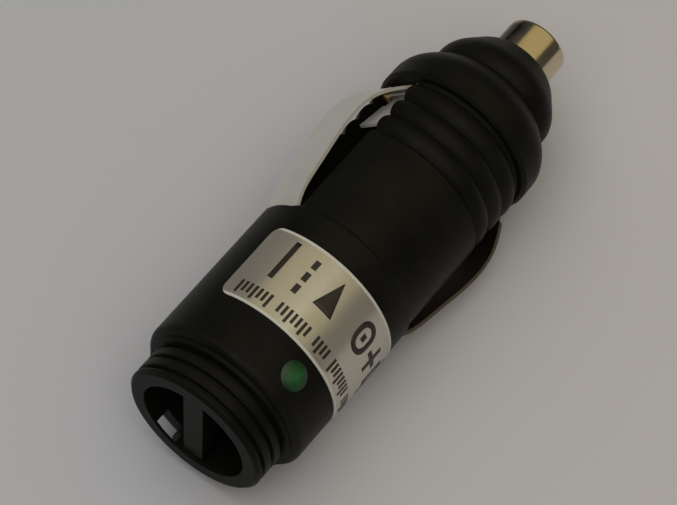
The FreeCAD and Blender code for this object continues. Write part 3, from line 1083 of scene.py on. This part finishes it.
@dataclass
class FoilLabel:
    """Wrapped foil label and its plain printed shapes.

    Attributes:
        x: Rear and front edge in millimetres from the rear rim.
        radius: Outer radius of the foil in millimetres.
        ink_lift: Height of the ink above the foil in millimetres.
        ink_depth: Thickness of the ink, which sinks a little into the foil, in millimetres.
        tall: Sizes of the tall marks.
        ticks: Row of short ticks.
        marks: Tall marks, each with its angle in degrees from +Y.
        patch_points: Mesh points along each side of a stroke.
        hoop_points: Mesh points round an oval.
        finish: Finish of the foil.
        ink: Finish of the ink.
    """

    x: Span = (11.4, 21.8)
    radius: float = 10.52
    ink_lift: float = 0.015
    ink_depth: float = 0.02
    tall: MarkSizes = MarkSizes()
    ticks: TickRow = TickRow()
    marks: Tuple[Tuple[Mark, float], ...] = (
        (Mark.BAR, 80.0), (Mark.DASHES, 97.0), (Mark.TRIANGLE, 117.0), (Mark.RING, 150.0),
        (Mark.CROSS, 170.0), (Mark.BOX, 191.0), (Mark.BAR, 211.0), (Mark.DASHES, 226.0))
    patch_points: int = 9
    hoop_points: int = 40
    finish: FoilFinish = FoilFinish()
    ink: PlainFinish = PlainFinish((0.018, 0.013, 0.010), 0.5)

    def wrap(self, x: np.ndarray, arc: np.ndarray) -> np.ndarray:
        """Lays flat label places on the barrel.

        Args:
            x: Axial places in millimetres from the rear rim.
            arc: Places round the barrel in millimetres of arc from +Y.

        Returns:
            Points in metres.
        """
        reach = self.radius + self.ink_lift
        turn = arc / self.radius
        y, z = reach * np.cos(turn), AXIS_Z + reach * np.sin(turn)
        return np.stack([x - HALF_LENGTH, y, z], axis=-1) * MM

    def patch(self, x: Sequence[float], arc: Sequence[float], taper: float = 1.0) -> Stroke:
        """One filled stroke: a grid over its length and width, narrowing evenly by taper.

        Args:
            x: Rear and front of the stroke in millimetres.
            arc: Start and end of the stroke in millimetres of arc.
            taper: Width at the front as a share of the width at the rear.

        Returns:
            Points and quads.
        """
        count = self.patch_points
        u, v = np.meshgrid(np.linspace(0.0, 1.0, count), np.linspace(0.5, -0.5, count),
                           indexing="ij")
        width = (arc[1] - arc[0]) * (1.0 + (taper - 1.0) * u)
        points = self.wrap(x[0] + (x[1] - x[0]) * u, 0.5 * (arc[0] + arc[1]) + width * v)
        return points.reshape(-1, 3), grid_faces(count, count)

    def hoop(self, x: float, arc: float, tall: float, wide: float) -> Stroke:
        """One squared-off oval outline: an ellipse and the same one a stroke smaller.

        Args:
            x: Middle along the plug in millimetres.
            arc: Middle round the barrel in millimetres of arc.
            tall: Half height along the plug in millimetres.
            wide: Half width round the barrel in millimetres.

        Returns:
            Points and quads.
        """
        turn = np.linspace(0.0, FULL_TURN, self.hoop_points, endpoint=False)[None, :]
        shrink = np.array([0.0, self.tall.stroke])[:, None]
        bend = np.sign(np.cos(turn)) * np.abs(np.cos(turn)) ** self.tall.ring_bend
        points = self.wrap(x + (tall - shrink) * bend, arc + (wide - shrink) * np.sin(turn))
        return points.reshape(-1, 3), grid_faces(2, self.hoop_points, wrap=True)

    def mark(self, kind: Mark, angle: float) -> List[Stroke]:
        """Strokes of one tall mark.

        Args:
            kind: Shape of the mark.
            angle: Middle of the mark in degrees from +Y.

        Returns:
            Strokes as points and quads.
        """
        size = self.tall
        arc = math.radians(angle) * self.radius
        rear, front = size.x
        middle, half = 0.5 * (rear + front), 0.5 * size.stroke
        line = (arc - half, arc + half)
        broad = (arc - size.wide * size.broad, arc + size.wide * size.broad)
        if kind is Mark.BAR:
            return [self.patch(size.x, line)]
        if kind is Mark.DASHES:
            step = (front - rear) / size.dashes
            starts = rear + step * np.arange(size.dashes)
            return [self.patch((start, start + step * size.dash), line) for start in starts]
        if kind is Mark.TRIANGLE:
            span = (rear + size.triangle_inset, front - size.triangle_inset)
            return [self.patch(span, broad, taper=size.triangle_top)]
        if kind is Mark.RING:
            tall = 0.5 * (front - rear) - size.ring_inset
            dot = (middle - half * size.dot, middle + half * size.dot)
            return [self.hoop(middle, arc, tall, size.wide * size.ring_wide),
                    self.patch(dot, line)]
        if kind is Mark.CROSS:
            return [self.patch((middle - size.arm, middle + size.arm), line),
                    self.patch((middle - half, middle + half), broad)]
        span = (rear + size.box_inset, front - size.box_inset)
        sides = [self.patch(span, (arc + side * size.wide - half, arc + side * size.wide + half))
                 for side in (-1.0, 1.0)]
        ends = [self.patch((x - half, x + half), (arc - size.wide, arc + size.wide))
                for x in (rear + size.box_end, front - size.box_end)]
        hair = (arc - half * size.hair, arc + half * size.hair)
        return sides + ends + [self.patch(size.x, hair)]

    def small_marks(self) -> List[Stroke]:
        """Row of short ticks in groups along the rear edge of the label.

        Returns:
            Strokes as points and quads.
        """
        row = self.ticks
        strokes = []
        arc = math.radians(row.start) * self.radius
        for group, count in enumerate(row.counts):
            for i in range(count):
                low = row.x[0] + (row.short if (i + group) % row.every else 0.0)
                strokes.append(self.patch((low, row.x[1]), (arc, arc + row.width)))
                arc += row.pitch
            arc += row.gap
        return strokes

    def build(self, finishes: Finishes) -> None:
        """Makes the ink as one thin piece on the foil.

        Args:
            finishes: Maker of the materials.
        """
        strokes = self.small_marks()
        for kind, angle in self.marks:
            strokes += self.mark(kind, angle)
        counts = np.cumsum([0] + [len(points) for points, _ in strokes[:-1]])
        points = np.concatenate([points for points, _ in strokes])
        quads = np.concatenate([quads + start for (_, quads), start in zip(strokes, counts)])
        ink = mesh_object("label_ink", points, quads)
        ink.data.materials.append(finishes.plain("ink", self.ink))
        thick = ink.modifiers.new("ink_depth", "SOLIDIFY")
        thick.thickness = self.ink_depth * MM
        thick.offset = -1.0
        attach(ink, Body.BARREL.value)

    def dress(self, finishes: Finishes) -> None:
        """Gives the foil its finish.

        Args:
            finishes: Maker of the materials.
        """
        dress(["foil_label"], finishes.foil("label_foil", self.finish, self.x))


@dataclass(frozen=True)
class RoomLamp:
    """Soft square lamp aimed at the plug.

    Attributes:
        name: Name of the lamp.
        place: Position in metres.
        size: Side of the square in metres.
        power: Power in watts.
        tint: Colour of the light.
        mirrored: True if polished metal shows the lamp.
    """

    name: str
    place: Tuple[float, float, float]
    size: float
    power: float
    tint: Colour
    mirrored: bool = True


@dataclass(frozen=True)
class Room:
    """Dim walls under a warm ceiling, as polished metal shows them.

    Attributes:
        near_wall: Colour of the wall on the -Y side.
        far_wall: Colour of the wall on the +Y side.
        turn: Span of Y over which one wall becomes the other.
        ceiling: Colour of the ceiling.
        rise: Span of height over which the walls become the ceiling.
        tilt: Drop of the ceiling's edge toward -Y.
    """

    near_wall: Colour = (0.068, 0.064, 0.056)
    far_wall: Colour = (0.06, 0.06, 0.062)
    turn: Span = (-0.4, 0.4)
    ceiling: Colour = (0.50, 0.425, 0.25)
    rise: Span = (0.59, 0.70)
    tilt: float = 0.13


@dataclass
class Studio:
    """Table, light and camera.

    Attributes:
        table: Finish of the table.
        table_half: Half the side of the square table in metres.
        room: Colours of the room.
        lamps: Soft lamps.
        heading: Camera azimuth in degrees.
        height: Camera elevation in degrees.
        roll: Turn of the camera about its view in degrees.
        distance: Camera distance in metres.
        focal: Focal length in pixels.
        shift: Aim point right and up of the plug's middle in millimetres.
        size: Width and height of the picture in pixels.
        near: Nearest distance that the camera shows in metres.
    """

    table: TableFinish = TableFinish()
    table_half: float = 0.9
    room: Room = Room()
    lamps: Tuple[RoomLamp, ...] = (
        RoomLamp("ceiling", (-0.22, -0.12, 0.75), 0.9, 2.5, (0.95, 0.95, 1.0)),
        RoomLamp("window", (0.18, 0.60, 0.68), 0.9, 1.1, (0.90, 0.95, 1.0), mirrored=False))
    heading: float = -57.24
    height: float = 59.11
    roll: float = 4.88
    distance: float = 0.3281
    focal: float = 2910.8
    shift: Span = (-3.863, -2.6)
    size: Tuple[int, int] = (677, 505)
    near: float = 0.01

    def build_table(self, finishes: Finishes) -> None:
        """Lays a wide pale table under the plug.

        Args:
            finishes: Maker of the materials.
        """
        side = np.linspace(-self.table_half, self.table_half, 3)
        u, v = np.meshgrid(side, side, indexing="ij")
        points = np.stack([u, v, np.zeros_like(u)], axis=-1)
        table = mesh_object("table", points, grid_faces(len(side), len(side)))
        table.data.materials.append(finishes.table("table_top", self.table))
        table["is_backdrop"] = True

    @staticmethod
    def add_lamp(lamp: RoomLamp) -> None:
        """Adds one soft lamp aimed at the plug.

        Args:
            lamp: Lamp to add.
        """
        light = bpy.data.lights.new(lamp.name, "AREA")
        light.size = lamp.size
        light.energy = lamp.power
        light.color = lamp.tint
        obj = bpy.data.objects.new(lamp.name, light)
        obj.location = lamp.place
        obj.visible_glossy = lamp.mirrored
        aim = Vector((0.0, 0.0, AXIS_Z * MM)) - Vector(lamp.place)
        obj.rotation_euler = aim.to_track_quat("-Z", "Y").to_euler()
        bpy.context.scene.collection.objects.link(obj)

    def build_light(self) -> None:
        """Sets a room with dim walls and a warm ceiling, and the soft lamps."""
        world = bpy.data.worlds.new("soft_room")
        bpy.context.scene.world = world
        world.use_nodes = True
        tools = NodeTools(world.node_tree)
        split = tools.add("ShaderNodeSeparateXYZ")
        tools.feed(split.inputs[0], tools.add("ShaderNodeTexCoord").outputs["Generated"])
        across, up = split.outputs["Y"], split.outputs["Z"]
        lift = tools.math("MULTIPLY_ADD", across, -self.room.tilt, up)
        side = tools.ramp(across, *self.room.turn)
        walls = tools.mix(side, self.room.near_wall, self.room.far_wall)
        overhead = tools.ramp(lift, *self.room.rise)
        sky = world.node_tree.nodes["Background"]
        tools.feed(sky.inputs["Color"], tools.mix(overhead, walls, self.room.ceiling))
        sky.inputs["Strength"].default_value = 1.0
        for lamp in self.lamps:
            self.add_lamp(lamp)

    def build_camera(self) -> None:
        """Places the camera at the photo's angle."""
        turn, tip, roll = (math.radians(a) for a in (self.heading, self.height, self.roll))
        level = math.cos(tip)
        ahead = Vector((-math.sin(turn) * level, math.cos(turn) * level, -math.sin(tip)))
        flat = ahead.cross(Vector((0.0, 0.0, 1.0))).normalized()
        steep = flat.cross(ahead)
        right = flat * math.cos(roll) + steep * math.sin(roll)
        up = steep * math.cos(roll) - flat * math.sin(roll)
        offset = (right * self.shift[0] + up * self.shift[1]) * MM
        target = Vector((0.0, 0.0, AXIS_Z * MM)) + offset
        camera = bpy.data.cameras.new("photo_camera")
        camera.sensor_width = SENSOR_WIDTH
        camera.sensor_fit = "HORIZONTAL"
        camera.lens = self.focal * SENSOR_WIDTH / self.size[0]
        camera.clip_start = self.near
        obj = bpy.data.objects.new("photo_camera", camera)
        basis = Matrix((right, up, -ahead)).transposed().to_4x4()
        obj.matrix_world = Matrix.Translation(target - ahead * self.distance) @ basis
        bpy.context.scene.collection.objects.link(obj)
        bpy.context.scene.camera = obj

    def build(self, finishes: Finishes) -> None:
        """Makes the whole set.

        Args:
            finishes: Maker of the materials.
        """
        self.build_table(finishes)
        self.build_light()
        self.build_camera()
        bpy.context.scene.view_settings.view_transform = "Standard"


def save_bounds(record: Dict[str, list], key: str) -> None:
    """Notes the size of the shown object.

    Args:
        record: Sizes so far, changed in place.
        key: Name of this moment.
    """
    low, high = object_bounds()
    record[key] = [[float(value) for value in corner] for corner in (low, high)]


def main() -> None:
    """Builds and dresses the whole scene, and reports each piece."""
    logging.basicConfig(level=logging.INFO)
    sizes: Dict[str, list] = {}
    save_bounds(sizes, "loaded")
    finishes = Finishes()
    for part in (Housing(), Contacts(), PilotLamp()):
        part.dress(finishes)
    for part in (FuseTrain(), FoilLabel()):
        part.dress(finishes)
        part.build(finishes)
    Studio().build(finishes)
    save_bounds(sizes, "finished")
    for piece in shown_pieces():
        LOG.info("piece %s with %d faces", piece.name, len(piece.data.polygons))


if __name__ == "__main__":
    main()
